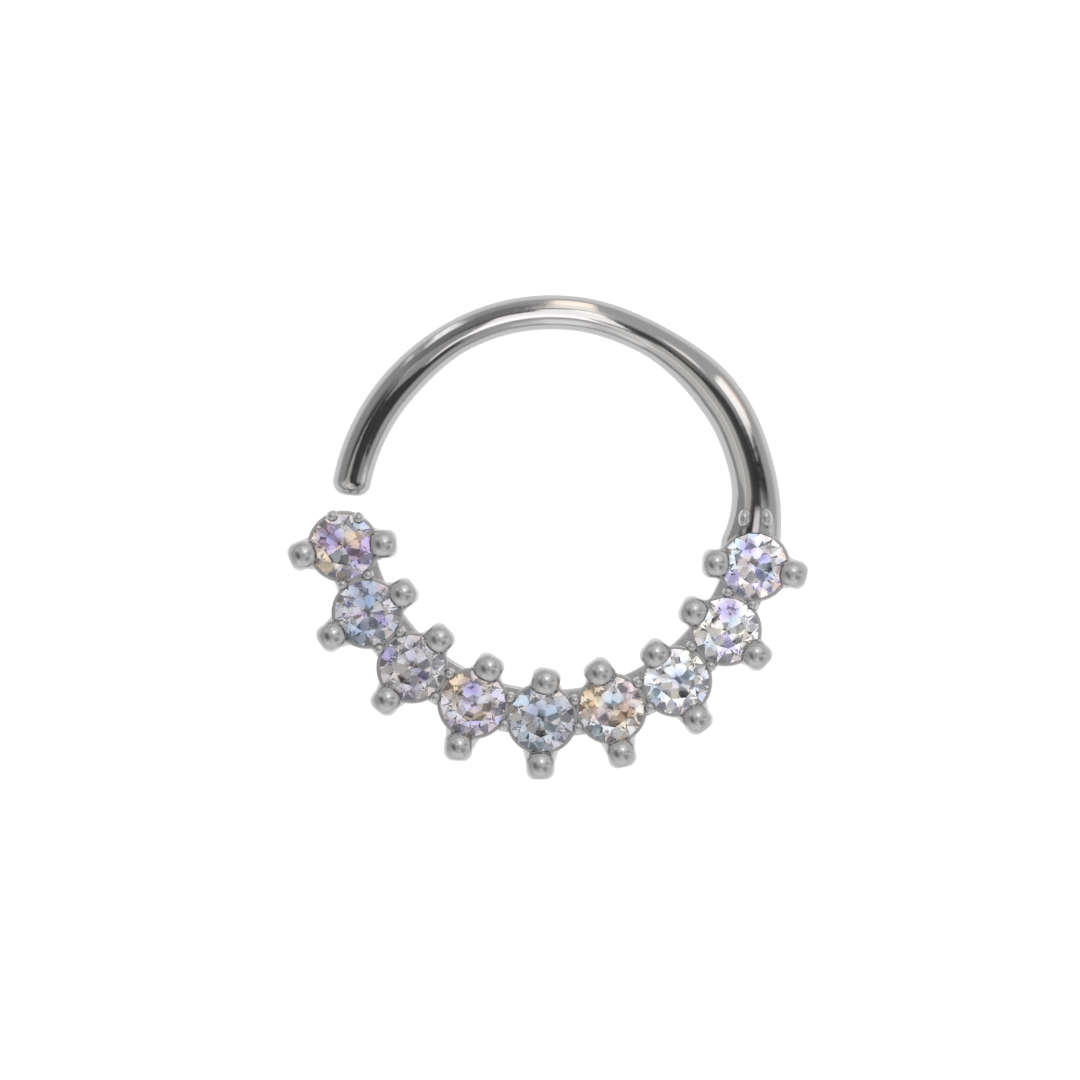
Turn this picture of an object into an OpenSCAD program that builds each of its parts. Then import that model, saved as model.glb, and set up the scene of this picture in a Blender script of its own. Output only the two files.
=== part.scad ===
// Daith hoop: an open ring of round wire whose lower arc carries a row of prong-set stones.
// The hoop lies flat with its back on z = 0 and its stones facing +Z. Lengths are in millimetres.
// Seen from the front, +X is to the right, and the plain wire crosses the top, at +Y.

/* [Hoop wire] */
// Diameter of the circle that the wire's outer edge follows
hoop_d = 10; // [9.8:0.1:10.4]
// Diameter of the wire beside the stone row
wire_d = 1; // [0.9:0.02:1.1]
// Diameter of the wire over the top, where it is slimmest
slim_d = 0.76; // [0.7:0.01:0.9]
// Diameter of the wire at its free end
tail_d = 0.84; // [0.7:0.01:0.9]
// Clear gap between the free end and the first setting
end_gap = 0.28; // [0.2:0.02:0.8]
// Extra width of the wire where it spreads into the last setting
root_flare = 0.3; // [0.1:0.05:0.35]

/* [Stone row] */
// Number of stones
stone_count = 9; // [7:1:9]
// Diameter of a stone
stone_d = 1.45; // [1.4:0.01:1.47]
// Distance between the centres of neighbouring stones
stone_pitch = 1.555; // [1.54:0.005:1.6]
// Radius of the circle through the stone centres
row_r = 4.68; // [4.6:0.02:4.8]
// Direction of the middle stone from the row's own centre
row_mid = 267.25; // [264:0.25:270]
// Sideways place of the row's centre from the hoop's centre
row_shift_x = -0.07; // [-0.1:0.01:0.1]
// Upward place of the row's centre from the hoop's centre
row_shift_y = 0.325; // [0.2:0.005:0.4]

/* [Setting] */
// Height of the girdle's lower edge above the flat back
girdle_z = 0.98; // [0.9:0.01:1.1]
// Diameter of the ball end of a large prong, before its four sides are flattened
ball_d = 0.78; // [0.74:0.01:0.82]
// Width of that ball end across its flattened sides
ball_w = 0.64; // [0.6:0.01:0.68]
// Diameter of the small beads between the stones
small_bead_d = 0.26; // [0.2:0.01:0.28]
// Width of the rail that joins the cups
rail_w = 1.04; // [1:0.02:1.16]
// Height of that rail
rail_h = 0.62; // [0.5:0.02:0.75]
// Clear gap between a stone and the metal round it
fit_gap = 0.015; // [0.01:0.005:0.02]

/* [Hidden] */
$fn = 48;

// Proportions of the brilliant cut, as shares of the stone's radius
table_share = 0.57;
star_share = 0.76;
crown_share = 0.31;
pavilion_share = 0.86;
lower_share = 0.45;
half_step = 22.5;

stone_r = stone_d / 2;
girdle_h = 0.04;
crown_h = crown_share * stone_r;
pavilion_h = pavilion_share * stone_r;
star_h = crown_h * (1 - star_share * cos(half_step)) / (1 - table_share);
lower_h = pavilion_h * (1 - lower_share * cos(half_step));
table_z = girdle_z + girdle_h + crown_h;

// The hand-set places of the stones and of their large prongs, first to last
// columns: the stone's shift outwards; the outer prong's turn away from straight outwards, its ball's
// distance from the stone's centre and its twist; the same three for the inner prong
settings = [
    [0.01, 0.8, 0.91, 11, -7, 0.88, 0],
    [0.02, 2.9, 0.93, 3, -1.2, 0.89, 5],
    [0.02, 2.3, 0.91, 0, -2, 0.86, -3],
    [-0.01, 3, 1.01, 15, -1.6, 0.84, -8],
    [0, 0.8, 1.03, 4, -3, 0.81, -6],
    [-0.04, -3.6, 1.01, 0, 1.6, 0.83, 20],
    [0.05, -6.8, 0.94, 8, 1.8, 0.75, 12],
    [0.03, -3.4, 0.86, -5, 5, 0.82, 6],
    [-0.03, 4.7, 0.87, -4, 12.7, 0.84, 0],
];

row_centre = [row_shift_x, row_shift_y];
row_step = 2 * asin(stone_pitch / 2 / row_r);
first_angle = row_mid - row_step * (stone_count - 1) / 2;

cup_lip_r = stone_r + 0.07;
cup_foot_r = 0.56;
cup_lip_z = girdle_z - 0.04;
back_hole_r = 0.36;
ball_z = girdle_z - 0.05;
ball_round = 0.19;
ball_neck = 0.3;
end_bead_z = girdle_z + 0.15;
end_bead_neck = 0.86;
stem_foot = [0.38, -0.1];
stem_foot_r = 0.5;
end_foot = [0.46, 0.1];
cup_sink = 0.1;
rail_centre_r = row_r - 0.12;
rail_edge = 0.1;
small_across = 0.3;
small_stem_r = 0.115;
small_bead_z = girdle_z + 0.11;
end_prong_turns = [-39, 9];
end_prong_u = stone_r - 0.01;
root_bead_r = 0.17;
root_bead_across = 0.24;
root_bead_along = 13.5;
under_cut = 0.5;

// Where the wire wanders from its circle
// columns: middle of the bend, its reach to each side, shift outwards
bends = [
    [36, 22, 0.06],
    [63, 22, -0.055],
    [103, 28, 0.025],
];
// Angles over which the wire slims from the root and thickens again towards its free end
slims = [36, 64];
thickens = [116, 138];
// Angles past the last stone where the wire starts, where its flare begins to fade and where it ends
root_start = 2;
flare_from = 7;
flare_to = 31;
wire_lift = 0.02;
wire_rings = 56;
wire_sides = 24;
end_round = 0.3;
end_steps = 5;

function polar(r, a) = [r * cos(a), r * sin(a)];
function ease(t) = t * t * (3 - 2 * t);
function mix(a, b, t) = a + (b - a) * t;
function angle_of(p) = atan2(p.y, p.x);

// Places in the row
function stone_angle(i) = first_angle + i * row_step;
function stone_place(i) = row_centre + polar(row_r + settings[i][0], stone_angle(i));
function outer_prong_angle(i) = stone_angle(i) + settings[i][1];
function inner_prong_angle(i) = stone_angle(i) + 180 + settings[i][4];
function outer_ball_place(i) = stone_place(i) + polar(settings[i][2], outer_prong_angle(i));

// How far a ball end reaches from its middle along the directions 0, 90, 180 and 270 degrees
function ball_extent(turn) = (ball_w / 2 - ball_round) * (abs(cos(turn)) + abs(sin(turn))) + ball_round;

// The origin is below the middle of the hoop's box
balls = [for (i = [0 : stone_count - 1])
    [outer_ball_place(i), ball_extent(outer_prong_angle(i) + settings[i][3])]];
box_left = min([for (b = balls) b[0].x - b[1]]);
box_right = max([for (b = balls) b[0].x + b[1]]);
box_front = min([for (b = balls) b[0].y - b[1]]);
box_back = max([for (a = [60 : 120]) outer_edge(a) * sin(a)]);
box_middle = [(box_left + box_right) / 2, (box_front + box_back) / 2];

// The wire runs anticlockwise from inside the last cup to its free end
last_stone_angle = angle_of(stone_place(stone_count - 1));
first_stone_angle = angle_of(stone_place(0)) + 360;
function arc_angle(length) = length / (hoop_d / 2 - tail_d / 2) * 180 / PI;
wire_from = last_stone_angle + root_start;
wire_to = first_stone_angle - arc_angle(end_gap + end_prong_u + small_bead_d / 2);

function share(a, span) = ease(min(1, max(0, (a - span[0]) / (span[1] - span[0]))));
function thickness(a) = wire_d - (wire_d - slim_d) * share(a, slims) + (tail_d - slim_d) * share(a, thickens);
function wander(a, b) = abs(a - b[0]) < b[1] ? b[2] * (1 + cos(180 * (a - b[0]) / b[1])) / 2 : 0;
function outer_edge(a) = hoop_d / 2 + wander(a, bends[0]) + wander(a, bends[1]) + wander(a, bends[2]);
function flare(past) = root_flare * pow(min(1, max(0, (flare_to - past) / (flare_to - flare_from))), 2);

// Section of the wire at an angle: outer radius, width, height
function wire_section(a) = [outer_edge(a), thickness(a) + flare(a - last_stone_angle), thickness(a)];

function wire_ring(a, less) =
    let (s = wire_section(a), half_w = s[1] / 2 - less, half_h = s[2] / 2 - less)
    [for (i = [0 : wire_sides - 1])
        let (t = i * 360 / wire_sides, p = polar(s[0] - s[1] / 2 + half_w * cos(t), a))
        [p.x, p.y, wire_lift + s[2] / 2 + half_h * sin(t)]];

// Rings along the wire, each an angle and how much smaller it is, the last few for the rounded end
module wire() {
    along = [for (j = [0 : wire_rings]) [mix(wire_from, wire_to - arc_angle(end_round), j / wire_rings), 0]];
    tip = [for (k = [1 : end_steps])
        let (t = k * 90 / end_steps)
        [wire_to - arc_angle(end_round) * (1 - sin(t)), end_round * (1 - cos(t))]];
    steps = concat(along, tip);
    n = wire_sides;
    last = len(steps) - 1;
    polyhedron(
        points = [for (s = steps) each wire_ring(s[0], s[1])],
        faces = concat(
            [[for (i = [n - 1 : -1 : 0]) i]],
            [for (j = [0 : last - 1], i = [0 : n - 1]) [j * n + i, j * n + (i + 1) % n, (j + 1) * n + (i + 1) % n]],
            [for (j = [0 : last - 1], i = [0 : n - 1]) [j * n + i, (j + 1) * n + (i + 1) % n, (j + 1) * n + i]],
            [[for (i = [0 : n - 1]) last * n + i]]
        ),
        convexity = 6
    );
}

// A band with softened edges under the stones, from the first cup to the last
module rail() {
    w = rail_w / 2;
    translate([row_centre.x, row_centre.y, 0])
        rotate([0, 0, first_angle])
            rotate_extrude(angle = stone_angle(stone_count - 1) - first_angle)
                translate([rail_centre_r, 0])
                    polygon([
                        [-w, -under_cut], [w, -under_cut], [w, rail_h - rail_edge * 1.6],
                        [w - rail_edge, rail_h - rail_edge / 3], [w - rail_edge * 2, rail_h],
                        [-w + rail_edge * 2, rail_h], [-w + rail_edge, rail_h - rail_edge / 3],
                        [-w, rail_h - rail_edge * 1.6]
                    ]);
}

// Moves to a stone's centre, with +X along the direction a
module at_stone(i, a) {
    p = stone_place(i);
    translate([p.x, p.y, 0])
        rotate([0, 0, a])
            children();
}

module cup() {
    translate([0, 0, -cup_sink])
        cylinder(h = cup_lip_z + cup_sink, r1 = cup_foot_r, r2 = cup_lip_r);
}

// A stem that leans outwards along +X from a foot to a tip, both given as [u, z]
module stem(foot, tip, foot_r, tip_r) {
    rise = tip - foot;
    translate([foot.x, 0, foot.y])
        rotate([0, atan2(rise.x, rise.y), 0])
            cylinder(h = norm(rise), r1 = foot_r, r2 = tip_r);
}

module bead(u, z, r) {
    translate([u, 0, z])
        sphere(r = r);
}

// A prong along +X: a stem that leans outwards and a ball end with four flattened sides
module large_prong(reach, twist) {
    stem(stem_foot, [reach, ball_z], stem_foot_r, ball_neck);
    translate([reach, 0, ball_z])
        rotate([0, 0, twist])
            intersection() {
                sphere(d = ball_d);
                linear_extrude(ball_d, center = true)
                    offset(r = ball_round, $fn = 24)
                        square(ball_w - 2 * ball_round, center = true);
            }
}

module large_prongs(i) {
    at_stone(i, outer_prong_angle(i))
        large_prong(settings[i][2], settings[i][3]);
    at_stone(i, inner_prong_angle(i))
        large_prong(settings[i][5], settings[i][6]);
}

// Two small prongs that a stone shares with its neighbour
module shared_prongs(i) {
    a = stone_angle(i) + row_step / 2;
    for (side = [-1, 1]) {
        p = row_centre + polar(row_r * cos(row_step / 2) + side * small_across, a);
        translate([p.x, p.y, 0]) {
            cylinder(h = small_bead_z, r = small_stem_r);
            bead(0, small_bead_z, small_bead_d / 2);
        }
    }
}

// Two small prongs on the first stone's free side
module end_prongs() {
    for (turn = end_prong_turns)
        at_stone(0, stone_angle(0) - 90 + turn) {
            stem(end_foot, [end_prong_u, end_bead_z], small_stem_r * 1.8, small_bead_d / 2 * end_bead_neck);
            bead(end_prong_u, end_bead_z, small_bead_d / 2);
        }
}

// Two beads on the wire where it meets the last cup
module root_beads() {
    a = last_stone_angle + root_bead_along;
    s = wire_section(a);
    for (side = [-1, 1]) {
        p = polar(s[0] - s[1] / 2 + side * root_bead_across, a);
        translate([p.x, p.y, 0])
            bead(0, wire_lift + s[2] - root_bead_r / 2, root_bead_r);
    }
}

// The stone's outer envelope with the fit gap round it, and the open back below it
module seat() {
    rotate_extrude()
        polygon([
            [0, girdle_z - pavilion_h - 2 * fit_gap],
            [lower_share * stone_r + fit_gap, girdle_z - lower_h - fit_gap],
            [stone_r + fit_gap, girdle_z - fit_gap],
            [stone_r + fit_gap, girdle_z + girdle_h + fit_gap],
            [star_share * stone_r + fit_gap, girdle_z + girdle_h + star_h + fit_gap],
            [table_share * stone_r + fit_gap, table_z + fit_gap],
            [0, table_z + fit_gap]
        ]);
    translate([0, 0, -under_cut])
        cylinder(h = under_cut + girdle_z - pavilion_h + back_hole_r * 0.95, r = back_hole_r);
}

module hoop_frame() {
    color([0.78, 0.78, 0.8])
        difference() {
            union() {
                wire();
                rail();
                end_prongs();
                root_beads();
                for (i = [0 : stone_count - 1]) {
                    at_stone(i, 0)
                        cup();
                    large_prongs(i);
                }
                for (i = [0 : stone_count - 2])
                    shared_prongs(i);
            }
            for (i = [0 : stone_count - 1])
                at_stone(i, 0)
                    seat();
            translate([-hoop_d, -hoop_d, -2 * under_cut])
                cube([2 * hoop_d, 2 * hoop_d, 2 * under_cut]);
        }
}

function ring_points(n, r, z, turn) =
    [for (k = [0 : n - 1]) [r * cos(turn + k * 360 / n), r * sin(turn + k * 360 / n), z]];

// A round brilliant: table, 8 stars, 8 kites, 16 upper girdle facets, a 16-sided girdle,
// 16 lower girdle facets and 8 mains. The kites and the mains are flat by their heights.
module brilliant() {
    star = 8;
    rim = 16;
    under = 32;
    lower = 48;
    culet = 56;
    polyhedron(
        points = concat(
            ring_points(8, table_share * stone_r, table_z, 0),
            ring_points(8, star_share * stone_r, girdle_z + girdle_h + star_h, half_step),
            ring_points(16, stone_r, girdle_z + girdle_h, 0),
            ring_points(16, stone_r, girdle_z, 0),
            ring_points(8, lower_share * stone_r, girdle_z - lower_h, half_step),
            [[0, 0, girdle_z - pavilion_h]]
        ),
        faces = concat(
            [[for (k = [7 : -1 : 0]) k]],
            [for (k = [0 : 7]) [k, (k + 1) % 8, star + k]],
            [for (k = [0 : 7]) [k, star + k, rim + 2 * k, star + (k + 7) % 8]],
            [for (k = [0 : 7]) [star + k, rim + 2 * k + 1, rim + 2 * k]],
            [for (k = [0 : 7]) [star + k, rim + (2 * k + 2) % 16, rim + 2 * k + 1]],
            [for (k = [0 : 15]) [rim + k, rim + (k + 1) % 16, under + (k + 1) % 16, under + k]],
            [for (k = [0 : 7]) [lower + k, under + 2 * k, under + 2 * k + 1]],
            [for (k = [0 : 7]) [lower + k, under + 2 * k + 1, under + (2 * k + 2) % 16]],
            [for (k = [0 : 7]) [culet, lower + (k + 7) % 8, under + 2 * k, lower + k]]
        ),
        convexity = 2
    );
}

module stone(i) {
    color([0.86, 0.88, 0.94, 0.7])
        at_stone(i, outer_prong_angle(i))
            brilliant();
}

module in_place() {
    translate([-box_middle.x, -box_middle.y, 0])
        children();
}

in_place() hoop_frame();
for (i = [0 : stone_count - 1])
    in_place() stone(i);
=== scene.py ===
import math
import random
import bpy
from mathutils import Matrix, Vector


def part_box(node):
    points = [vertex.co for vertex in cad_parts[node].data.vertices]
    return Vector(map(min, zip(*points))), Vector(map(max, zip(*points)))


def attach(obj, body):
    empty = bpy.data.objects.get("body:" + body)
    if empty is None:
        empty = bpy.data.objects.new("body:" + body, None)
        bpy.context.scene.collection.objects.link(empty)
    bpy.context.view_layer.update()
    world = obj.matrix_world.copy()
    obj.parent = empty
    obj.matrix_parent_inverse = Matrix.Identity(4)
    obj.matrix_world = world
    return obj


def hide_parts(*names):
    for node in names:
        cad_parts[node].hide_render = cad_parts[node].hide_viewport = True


bl_info = {
    "name": "Daith Hoop",
    "version": (1, 0, 0),
    "blender": (4, 5, 0),
    "location": "3D View > Sidebar > Jewel",
    "description": "Finishes a daith hoop: polished wire, cast settings, brilliant-cut stones and stage",
    "category": "Add Mesh",
}

import bmesh
import bpy
from bpy.props import FloatProperty, FloatVectorProperty, IntProperty, PointerProperty
from mathutils import Matrix, Vector

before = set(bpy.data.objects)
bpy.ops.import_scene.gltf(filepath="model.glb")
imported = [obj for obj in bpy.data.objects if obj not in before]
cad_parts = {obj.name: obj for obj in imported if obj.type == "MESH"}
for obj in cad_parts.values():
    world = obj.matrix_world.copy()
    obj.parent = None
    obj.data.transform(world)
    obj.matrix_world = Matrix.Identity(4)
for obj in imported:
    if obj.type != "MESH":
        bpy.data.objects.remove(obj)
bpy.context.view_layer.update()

MM = 0.001
METAL_NODE = "hoop_frame"
WIRE_PIECE = "hoop_wire"
ROW_PIECE = "setting_row"

# Centres of the hoop's outer circle and of the stone row's circle, in the part's frame
HOOP_CENTRE = Vector((0.1662, 0.3445, 0)) * MM
ROW_CENTRE = Vector((0.0962, 0.6695, 0)) * MM

# The large prongs, first stone to last. Columns: the outer prong's turn away from straight outwards in
# degrees, its ball's distance from the stone's centre in mm and its twist in degrees, then the same
# three for the inner prong
PRONGS = (
    (0.8, 0.91, 11, -7, 0.88, 0),
    (2.9, 0.93, 3, -1.2, 0.89, 5),
    (2.3, 0.91, 0, -2, 0.86, -3),
    (3, 1.01, 15, -1.6, 0.84, -8),
    (0.8, 1.03, 4, -3, 0.81, -6),
    (-3.6, 1.01, 0, 1.6, 0.83, 20),
    (-6.8, 0.94, 8, 1.8, 0.75, 12),
    (-3.4, 0.86, -5, 5, 0.82, 6),
    (4.7, 0.87, -4, 12.7, 0.84, 0),
)
# The first stone's two free prongs, turned from the direction along the row, in degrees
END_PRONGS = (-39, 9)

# Painted shade on each stone's crown, first to last: the share of its colour that is kept
PAINTED_STONE_SHADE = (0.75, 0.65, 0.74, 0.71, 0.7, 0.82, 0.98, 1.0, 1.0)
# Painted fire, painted highlights and painted shade on the facets, where the clear stone's own colour is 1,
# 1, 1
PAINTED_FIRE_AND_SHADE = {
    "white": (1.35, 1.35, 1.35),
    "pale_blue": (0.82, 1.06, 1.22),
    "blue": (0.6, 0.84, 1.12),
    "slate": (0.45, 0.53, 0.8),
    "violet": (0.48, 0.4, 1.08),
    "lavender": (0.98, 0.86, 1.25),
    "pink": (1.28, 0.94, 1.02),
    "peach": (1.3, 1.04, 0.76),
    "orange": (1.35, 0.92, 0.46),
    "brown": (0.68, 0.4, 0.34),
    "grey": (0.72, 0.71, 0.72),
    "dark": (0.44, 0.41, 0.45),
}
# Where these painted colours show on the crowns, each laid over the earlier ones. Columns: stone, colour,
# direction from the stone's centre in degrees, distance from there and half width, both as shares of the
# stone's radius
PAINTED_SPOTS = (
    (1, "violet", 150, 0.5, 0.42),
    (1, "orange", 22, 0.38, 0.34),
    (1, "brown", 335, 0.48, 0.24),
    (1, "pale_blue", 60, 0.9, 0.28),
    (1, "pink", 5, 0.8, 0.28),
    (1, "grey", 257, 0.45, 0.35),
    (2, "slate", 100, 0.55, 0.45),
    (2, "pink", 210, 0.24, 0.22),
    (2, "blue", 240, 0.68, 0.35),
    (2, "violet", 344, 0.5, 0.22),
    (2, "white", 5, 0.78, 0.26),
    (3, "violet", 154, 0.9, 0.3),
    (3, "grey", 60, 0.4, 0.4),
    (3, "dark", 310, 0.32, 0.28),
    (3, "lavender", 262, 0.72, 0.3),
    (4, "orange", 128, 0.86, 0.5),
    (4, "peach", 66, 0.8, 0.28),
    (4, "violet", 96, 0.42, 0.28),
    (4, "lavender", 214, 0.1, 0.3),
    (4, "dark", 352, 0.6, 0.22),
    (4, "grey", 228, 0.9, 0.3),
    (5, "pale_blue", 130, 0.85, 0.3),
    (5, "slate", 131, 0.25, 0.32),
    (5, "dark", 210, 0.25, 0.2),
    (5, "blue", 42, 0.42, 0.3),
    (5, "grey", 244, 0.55, 0.35),
    (6, "orange", 148, 0.82, 0.55),
    (6, "pale_blue", 100, 0.3, 0.22),
    (6, "pink", 38, 0.8, 0.3),
    (6, "brown", 350, 0.45, 0.26),
    (6, "dark", 243, 0.3, 0.22),
    (6, "blue", 235, 0.85, 0.3),
    (7, "slate", 60, 0.1, 0.24),
    (7, "blue", 210, 0.7, 0.28),
    (7, "peach", 58, 0.88, 0.3),
    (7, "grey", 137, 0.75, 0.3),
    (8, "violet", 84, 0.62, 0.36),
    (8, "pink", 147, 0.5, 0.24),
    (8, "grey", 40, 0.3, 0.26),
    (8, "blue", 219, 0.64, 0.26),
    (8, "white", 270, 0.6, 0.34),
    (8, "peach", 339, 0.6, 0.3),
    (9, "violet", 112, 0.62, 0.26),
    (9, "blue", 345, 0.4, 0.32),
    (9, "brown", 160, 0.28, 0.2),
    (9, "violet", 210, 0.75, 0.24),
    (9, "pink", 250, 0.68, 0.32),
)

# Where the wire wanders from its circle. Columns: middle of the bend and its reach to each side in
# degrees, shift outwards in mm
BENDS = ((36, 22, 0.06), (63, 22, -0.055), (103, 28, 0.025))
# Angles over which the wire slims, and over which it thickens again towards its free end
SLIMS = (36, 64)
THICKENS = (116, 138)
# Angles past the last stone where the wire starts, where its flare begins to fade and where it ends
ROOT_START = 2
FLARE_FROM = 7
FLARE_TO = 31
# Angle past the last stone where the root beads sit
ROOT_BEADS_AT = 13.5
# How far inside a stone's edge the first stone's free beads stand
END_INSET = 0.01 * MM


class HoopSizes(bpy.types.PropertyGroup):
    """Sizes of the metal."""

    hoop: FloatProperty(name="Hoop", description="Diameter of the wire's outer circle", default=10 * MM,
                        unit="LENGTH", precision=5)
    wire: FloatProperty(name="Wire", description="Thickness of the wire beside the row", default=1 * MM,
                        unit="LENGTH", precision=5)
    slim: FloatProperty(name="Slim wire", description="Thickness of the wire over the top",
                        default=0.76 * MM, unit="LENGTH", precision=5)
    tail: FloatProperty(name="Free end", description="Thickness of the wire at its free end",
                        default=0.84 * MM, unit="LENGTH", precision=5)
    end_gap: FloatProperty(name="End gap", description="Gap between the free end and the first setting",
                           default=0.28 * MM, unit="LENGTH", precision=5)
    end_round: FloatProperty(name="End rounding", description="Radius of the free end's rounded edge",
                             default=0.3 * MM, unit="LENGTH", precision=5)
    flare: FloatProperty(name="Root flare", description="Extra width where the wire meets the row",
                         default=0.3 * MM, unit="LENGTH", precision=5)
    wire_lift: FloatProperty(name="Wire lift", description="Height of the wire's underside",
                             default=0.02 * MM, unit="LENGTH", precision=5)
    rail_width: FloatProperty(name="Rail width", description="Width of the rail below the stones",
                              default=1.04 * MM, unit="LENGTH", precision=5)
    rail_height: FloatProperty(name="Rail height", description="Height of that rail", default=0.62 * MM,
                               unit="LENGTH", precision=5)
    rail_inset: FloatProperty(name="Rail inset", description="How far the rail runs inside the row's line",
                              default=0.12 * MM, unit="LENGTH", precision=5)
    rail_edge: FloatProperty(name="Rail edge", description="Rounding of the rail's upper edges",
                             default=0.06 * MM, unit="LENGTH", precision=5)
    cup_foot: FloatProperty(name="Cup foot", description="Radius of a cup at the back",
                            default=0.583 * MM, unit="LENGTH", precision=5)
    cup_lip: FloatProperty(name="Cup lip", description="Radius of a cup at its lip",
                           default=0.795 * MM, unit="LENGTH", precision=5)
    cup_height: FloatProperty(name="Cup height", description="Height of a cup's lip",
                              default=0.94 * MM, unit="LENGTH", precision=5)
    ball: FloatProperty(name="Ball", description="Diameter of a large prong's ball end",
                        default=0.78 * MM, unit="LENGTH", precision=5)
    ball_width: FloatProperty(name="Ball width", description="Width across the ball's flattened sides",
                              default=0.64 * MM, unit="LENGTH", precision=5)
    ball_round: FloatProperty(name="Ball corners", description="Rounding between the flattened sides",
                              default=0.19 * MM, unit="LENGTH", precision=5)
    ball_height: FloatProperty(name="Ball height", description="Height of the ball's centre",
                               default=0.93 * MM, unit="LENGTH", precision=5)
    stem_foot: FloatProperty(name="Stem foot", description="Radius of a large prong's stem at its foot",
                             default=0.5 * MM, unit="LENGTH", precision=5)
    stem_neck: FloatProperty(name="Stem neck", description="Radius of that stem below its ball",
                             default=0.3 * MM, unit="LENGTH", precision=5)
    end_height: FloatProperty(name="End prong height", description="Height of the end beads' centres",
                              default=1.13 * MM, unit="LENGTH", precision=5)
    small_bead: FloatProperty(name="Small bead", description="Diameter of the beads between the stones",
                              default=0.26 * MM, unit="LENGTH", precision=5)
    small_across: FloatProperty(name="Small bead offset", description="Half the distance across a pair",
                                default=0.3 * MM, unit="LENGTH", precision=5)
    small_rise: FloatProperty(name="Small bead rise", description="Height of those beads above the girdle",
                              default=0.11 * MM, unit="LENGTH", precision=5)
    root_bead: FloatProperty(name="Root bead", description="Radius of the long beads at the wire's root",
                             default=0.15 * MM, unit="LENGTH", precision=5)
    root_across: FloatProperty(name="Root bead offset", description="Half the distance between those beads",
                               default=0.24 * MM, unit="LENGTH", precision=5)


class StoneSizes(bpy.types.PropertyGroup):
    """Sizes and cut of the stones."""

    width: FloatProperty(name="Width", description="Diameter of a stone", default=1.45 * MM,
                         unit="LENGTH", precision=5)
    girdle: FloatProperty(name="Girdle height", description="Height of the girdle's lower edge",
                          default=0.98 * MM, unit="LENGTH", precision=5)
    girdle_band: FloatProperty(name="Girdle band", description="Thickness of the girdle", default=0.04 * MM,
                               unit="LENGTH", precision=5)
    fit: FloatProperty(name="Fit", description="Gap between a stone and the metal", default=0.006 * MM,
                       unit="LENGTH", precision=5)
    table: FloatProperty(name="Table", description="Table width as a share of the stone's",
                         default=0.57, subtype="FACTOR", min=0, max=1)
    star: FloatProperty(name="Star", description="Reach of the star facets as a share",
                        default=0.76, subtype="FACTOR", min=0, max=1)
    crown: FloatProperty(name="Crown", description="Crown height as a share of the radius",
                         default=0.31, subtype="FACTOR", min=0, max=1)
    pavilion: FloatProperty(name="Pavilion", description="Pavilion depth as a share of the radius",
                            default=0.86, subtype="FACTOR", min=0, max=1)
    lower: FloatProperty(name="Lower facets", description="Inner reach of the lower facets as a share",
                         default=0.45, subtype="FACTOR", min=0, max=1)
    unevenness: FloatProperty(name="Unevenness", description="How far a table sits off the middle",
                              default=0.012 * MM, unit="LENGTH", precision=5)
    back_hole: FloatProperty(name="Back hole", description="Radius of the light hole under a stone",
                             default=0.36 * MM, unit="LENGTH", precision=5)


class Fineness(bpy.types.PropertyGroup):
    """How finely round things are divided."""

    wire_sides: IntProperty(name="Wire sides", description="Sides of the wire's section", default=64)
    wire_rings: IntProperty(name="Wire rings", description="Rings along the wire", default=200)
    rail_rings: IntProperty(name="Rail rings", description="Rings along the rail", default=150)
    ball_sides: IntProperty(name="Ball sides", description="Sides of a prong and its ball", default=56)
    small_sides: IntProperty(name="Small sides", description="Sides of a small prong", default=32)
    cup_sides: IntProperty(name="Cup sides", description="Sides of a cup and its seat", default=96)
    crown_cuts: IntProperty(name="Crown cuts", description="Cuts across each facet of a crown", default=7)


class Finish(bpy.types.PropertyGroup):
    """Colours and polish."""

    metal: FloatVectorProperty(name="Metal", description="Colour of the polished metal", subtype="COLOR",
                               default=(0.60, 0.595, 0.59), min=0, max=1)
    wire_polish: FloatProperty(name="Wire polish", description="Roughness of the drawn wire",
                               default=0.12, subtype="FACTOR", min=0, max=1)
    cast_polish: FloatProperty(name="Cast polish", description="Roughness of the cast settings",
                               default=0.22, subtype="FACTOR", min=0, max=1)
    # Painted light: the settings are the wire's metal, their colour painted lighter than the wire's
    cast: FloatVectorProperty(name="Cast metal", description="Colour of the settings", subtype="COLOR",
                              default=(0.76, 0.75, 0.745), min=0, max=1)
    stone: FloatVectorProperty(name="Stone", description="Body colour of the stones", subtype="COLOR",
                               default=(0.985, 0.99, 1.0), min=0, max=1)
    stone_ior: FloatProperty(name="Stone index", description="Refractive index of the stones", default=2.16)
    floor: FloatVectorProperty(name="Floor", description="Colour of the floor", subtype="COLOR",
                               default=(0.9, 0.9, 0.9), min=0, max=1)


# Small helpers for shapes

def polar(radius, degrees):
    """A point at that distance and direction in the plan."""
    turn = math.radians(degrees)
    return Vector((radius * math.cos(turn), radius * math.sin(turn), 0))


def ease(t):
    """Smooth step from 0 to 1."""
    t = min(1, max(0, t))
    return t * t * (3 - 2 * t)


def mix(a, b, t):
    """The value a share t of the way from a to b."""
    return a + (b - a) * t


def arc(centre, radius, start, end, steps):
    """Profile points (radius, height) along an arc, with its angles in degrees."""
    turns = [math.radians(mix(start, end, k / steps)) for k in range(steps + 1)]
    return [(centre[0] + radius * math.cos(t), centre[1] + radius * math.sin(t)) for t in turns]


def turned(degrees, centre):
    """The matrix that turns about Z and then moves to a centre."""
    return Matrix.Translation(centre) @ Matrix.Rotation(math.radians(degrees), 4, "Z")


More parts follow.
